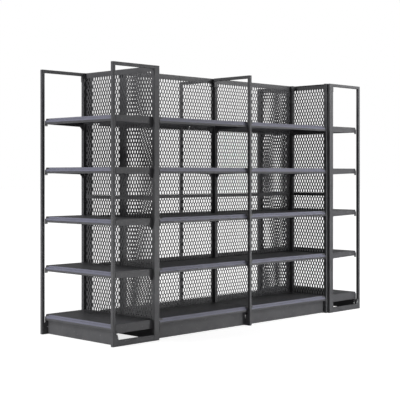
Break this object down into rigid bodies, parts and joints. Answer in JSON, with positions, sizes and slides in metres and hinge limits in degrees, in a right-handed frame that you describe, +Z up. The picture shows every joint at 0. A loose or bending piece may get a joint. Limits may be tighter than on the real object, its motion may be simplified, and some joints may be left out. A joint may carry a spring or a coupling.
{
  "type": "gondola shelving unit",
  "caption": "Free-standing double-sided steel gondola: mesh-backed bays with shelves front and rear, an end cap of shelves on each end, and open square-tube side frames.",
  "frame": {"origin": "on the floor, at the middle of the unit's footprint", "axes": "+X along the run of two bays, the bays' shelves face -Y and +Y, +Z up"},
  "size_m": [2.9236, 0.841, 2],
  "materials": {
    "frame_steel": "matte dark grey powder coat",
    "shelf_steel": "matte dark grey powder coat",
    "mesh_steel": "matte dark grey powder coat on expanded mesh",
    "base_steel": "matte dark grey powder coat"
  },
  "bodies": {
    "structure": {"run_upright_left": "frame_steel", "run_upright_middle": "frame_steel", "run_upright_right": "frame_steel", "left_cap_upright_near": "frame_steel", "left_cap_upright_far": "frame_steel", "right_cap_upright_near": "frame_steel", "right_cap_upright_far": "frame_steel", "run_side_frame_front": "frame_steel", "run_side_frame_back": "frame_steel", "left_cap_side_frame_near": "frame_steel", "left_cap_side_frame_far": "frame_steel", "right_cap_side_frame_near": "frame_steel", "right_cap_side_frame_far": "frame_steel", "run_base_leg_left": "base_steel", "run_base_leg_right": "base_steel", "left_bay_mesh_panel_lower": "mesh_steel", "left_bay_mesh_panel_upper": "mesh_steel", "left_bay_kick_plate": "base_steel", "right_bay_mesh_panel_lower": "mesh_steel", "right_bay_mesh_panel_upper": "mesh_steel", "right_bay_kick_plate": "base_steel", "left_bay_rear_kick_plate": "base_steel", "right_bay_rear_kick_plate": "base_steel", "left_cap_mesh_panel_lower": "mesh_steel", "left_cap_mesh_panel_upper": "mesh_steel", "left_cap_kick_plate": "base_steel", "right_cap_mesh_panel_lower": "mesh_steel", "right_cap_mesh_panel_upper": "mesh_steel", "right_cap_kick_plate": "base_steel"},
    "left_bay_base_deck": {"left_bay_base_deck": "shelf_steel"},
    "left_bay_shelf_1": {"left_bay_shelf_1": "shelf_steel"},
    "left_bay_shelf_2": {"left_bay_shelf_2": "shelf_steel"},
    "left_bay_shelf_3": {"left_bay_shelf_3": "shelf_steel"},
    "left_bay_shelf_4": {"left_bay_shelf_4": "shelf_steel"},
    "right_bay_base_deck": {"right_bay_base_deck": "shelf_steel"},
    "right_bay_shelf_1": {"right_bay_shelf_1": "shelf_steel"},
    "right_bay_shelf_2": {"right_bay_shelf_2": "shelf_steel"},
    "right_bay_shelf_3": {"right_bay_shelf_3": "shelf_steel"},
    "right_bay_shelf_4": {"right_bay_shelf_4": "shelf_steel"},
    "left_bay_rear_base_deck": {"left_bay_rear_base_deck": "shelf_steel"},
    "left_bay_rear_shelf_1": {"left_bay_rear_shelf_1": "shelf_steel"},
    "left_bay_rear_shelf_2": {"left_bay_rear_shelf_2": "shelf_steel"},
    "left_bay_rear_shelf_3": {"left_bay_rear_shelf_3": "shelf_steel"},
    "left_bay_rear_shelf_4": {"left_bay_rear_shelf_4": "shelf_steel"},
    "right_bay_rear_base_deck": {"right_bay_rear_base_deck": "shelf_steel"},
    "right_bay_rear_shelf_1": {"right_bay_rear_shelf_1": "shelf_steel"},
    "right_bay_rear_shelf_2": {"right_bay_rear_shelf_2": "shelf_steel"},
    "right_bay_rear_shelf_3": {"right_bay_rear_shelf_3": "shelf_steel"},
    "right_bay_rear_shelf_4": {"right_bay_rear_shelf_4": "shelf_steel"},
    "left_cap_base_deck": {"left_cap_base_deck": "shelf_steel"},
    "left_cap_shelf_1": {"left_cap_shelf_1": "shelf_steel"},
    "left_cap_shelf_2": {"left_cap_shelf_2": "shelf_steel"},
    "left_cap_shelf_3": {"left_cap_shelf_3": "shelf_steel"},
    "left_cap_shelf_4": {"left_cap_shelf_4": "shelf_steel"},
    "right_cap_base_deck": {"right_cap_base_deck": "shelf_steel"},
    "right_cap_shelf_1": {"right_cap_shelf_1": "shelf_steel"},
    "right_cap_shelf_2": {"right_cap_shelf_2": "shelf_steel"},
    "right_cap_shelf_3": {"right_cap_shelf_3": "shelf_steel"},
    "right_cap_shelf_4": {"right_cap_shelf_4": "shelf_steel"}
  },
  "joints": [
    {"name": "left_bay_base_deck_lift", "type": "slide", "parent": "structure", "child": "left_bay_base_deck", "axis": [0, 0, 1], "range_m": [0, 0.03]},
    {"name": "left_bay_shelf_1_lift", "type": "slide", "parent": "structure", "child": "left_bay_shelf_1", "axis": [0, 0, 1], "range_m": [0, 0.03]},
    {"name": "left_bay_shelf_2_lift", "type": "slide", "parent": "structure", "child": "left_bay_shelf_2", "axis": [0, 0, 1], "range_m": [0, 0.03]},
    {"name": "left_bay_shelf_3_lift", "type": "slide", "parent": "structure", "child": "left_bay_shelf_3", "axis": [0, 0, 1], "range_m": [0, 0.03]},
    {"name": "left_bay_shelf_4_lift", "type": "slide", "parent": "structure", "child": "left_bay_shelf_4", "axis": [0, 0, 1], "range_m": [0, 0.03]},
    {"name": "right_bay_base_deck_lift", "type": "slide", "parent": "structure", "child": "right_bay_base_deck", "axis": [0, 0, 1], "range_m": [0, 0.03]},
    {"name": "right_bay_shelf_1_lift", "type": "slide", "parent": "structure", "child": "right_bay_shelf_1", "axis": [0, 0, 1], "range_m": [0, 0.03]},
    {"name": "right_bay_shelf_2_lift", "type": "slide", "parent": "structure", "child": "right_bay_shelf_2", "axis": [0, 0, 1], "range_m": [0, 0.03]},
    {"name": "right_bay_shelf_3_lift", "type": "slide", "parent": "structure", "child": "right_bay_shelf_3", "axis": [0, 0, 1], "range_m": [0, 0.03]},
    {"name": "right_bay_shelf_4_lift", "type": "slide", "parent": "structure", "child": "right_bay_shelf_4", "axis": [0, 0, 1], "range_m": [0, 0.03]},
    {"name": "left_bay_rear_base_deck_lift", "type": "slide", "parent": "structure", "child": "left_bay_rear_base_deck", "axis": [0, 0, 1], "range_m": [0, 0.03]},
    {"name": "left_bay_rear_shelf_1_lift", "type": "slide", "parent": "structure", "child": "left_bay_rear_shelf_1", "axis": [0, 0, 1], "range_m": [0, 0.03]},
    {"name": "left_bay_rear_shelf_2_lift", "type": "slide", "parent": "structure", "child": "left_bay_rear_shelf_2", "axis": [0, 0, 1], "range_m": [0, 0.03]},
    {"name": "left_bay_rear_shelf_3_lift", "type": "slide", "parent": "structure", "child": "left_bay_rear_shelf_3", "axis": [0, 0, 1], "range_m": [0, 0.03]},
    {"name": "left_bay_rear_shelf_4_lift", "type": "slide", "parent": "structure", "child": "left_bay_rear_shelf_4", "axis": [0, 0, 1], "range_m": [0, 0.03]},
    {"name": "right_bay_rear_base_deck_lift", "type": "slide", "parent": "structure", "child": "right_bay_rear_base_deck", "axis": [0, 0, 1], "range_m": [0, 0.03]},
    {"name": "right_bay_rear_shelf_1_lift", "type": "slide", "parent": "structure", "child": "right_bay_rear_shelf_1", "axis": [0, 0, 1], "range_m": [0, 0.03]},
    {"name": "right_bay_rear_shelf_2_lift", "type": "slide", "parent": "structure", "child": "right_bay_rear_shelf_2", "axis": [0, 0, 1], "range_m": [0, 0.03]},
    {"name": "right_bay_rear_shelf_3_lift", "type": "slide", "parent": "structure", "child": "right_bay_rear_shelf_3", "axis": [0, 0, 1], "range_m": [0, 0.03]},
    {"name": "right_bay_rear_shelf_4_lift", "type": "slide", "parent": "structure", "child": "right_bay_rear_shelf_4", "axis": [0, 0, 1], "range_m": [0, 0.03]},
    {"name": "left_cap_base_deck_lift", "type": "slide", "parent": "structure", "child": "left_cap_base_deck", "axis": [0, 0, 1], "range_m": [0, 0.03]},
    {"name": "left_cap_shelf_1_lift", "type": "slide", "parent": "structure", "child": "left_cap_shelf_1", "axis": [0, 0, 1], "range_m": [0, 0.03]},
    {"name": "left_cap_shelf_2_lift", "type": "slide", "parent": "structure", "child": "left_cap_shelf_2", "axis": [0, 0, 1], "range_m": [0, 0.03]},
    {"name": "left_cap_shelf_3_lift", "type": "slide", "parent": "structure", "child": "left_cap_shelf_3", "axis": [0, 0, 1], "range_m": [0, 0.03]},
    {"name": "left_cap_shelf_4_lift", "type": "slide", "parent": "structure", "child": "left_cap_shelf_4", "axis": [0, 0, 1], "range_m": [0, 0.03]},
    {"name": "right_cap_base_deck_lift", "type": "slide", "parent": "structure", "child": "right_cap_base_deck", "axis": [0, 0, 1], "range_m": [0, 0.03]},
    {"name": "right_cap_shelf_1_lift", "type": "slide", "parent": "structure", "child": "right_cap_shelf_1", "axis": [0, 0, 1], "range_m": [0, 0.03]},
    {"name": "right_cap_shelf_2_lift", "type": "slide", "parent": "structure", "child": "right_cap_shelf_2", "axis": [0, 0, 1], "range_m": [0, 0.03]},
    {"name": "right_cap_shelf_3_lift", "type": "slide", "parent": "structure", "child": "right_cap_shelf_3", "axis": [0, 0, 1], "range_m": [0, 0.03]},
    {"name": "right_cap_shelf_4_lift", "type": "slide", "parent": "structure", "child": "right_cap_shelf_4", "axis": [0, 0, 1], "range_m": [0, 0.03]}
  ]
}
